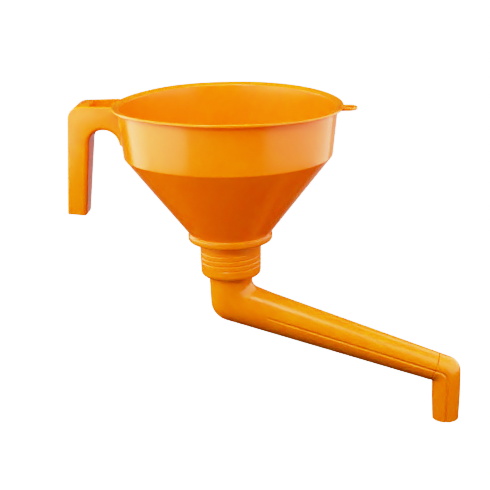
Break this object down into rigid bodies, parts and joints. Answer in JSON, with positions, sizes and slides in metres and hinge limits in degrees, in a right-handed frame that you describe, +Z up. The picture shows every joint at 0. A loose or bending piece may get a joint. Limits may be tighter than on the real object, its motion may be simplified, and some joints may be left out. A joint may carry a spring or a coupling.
{
  "type": "swivel-spout funnel",
  "caption": "Hand-held filling funnel with side handle, lift-out strainer, threaded neck and a cranked swivelling spout.",
  "frame": {"origin": "on the bowl's axis, in the plane of the flat shoulder under the strainer seat, where the threaded neck begins", "axes": "+Z up along the axis of bowl and neck, out of the bowl's mouth; +X towards the spout's outlet; -X towards the handle; +Y completes the right-handed set"},
  "size_m": [0.3477, 0.2, 0.2907],
  "materials": {
    "orange_polyethylene": "satin moulded polyethylene",
    "brass_wire": "woven wire",
    "black_rubber": "matt"
  },
  "bodies": {
    "bowl": {"funnel_bowl": "orange_polyethylene", "swivel_seal": "black_rubber"},
    "strainer": {"strainer_frame": "orange_polyethylene", "strainer_gauze": "brass_wire"},
    "spout": {"spout_arm": "orange_polyethylene", "outlet_elbow": "orange_polyethylene"}
  },
  "joints": [
    {"name": "strainer_lift", "type": "slide", "parent": "bowl", "child": "strainer", "axis": [0, 0, 1], "range_m": [0, 0.14]},
    {"name": "spout_swivel", "type": "hinge", "parent": "bowl", "child": "spout", "pos_m": [0, 0, -0.0321], "axis": [0, 0, 1], "continuous": true}
  ]
}
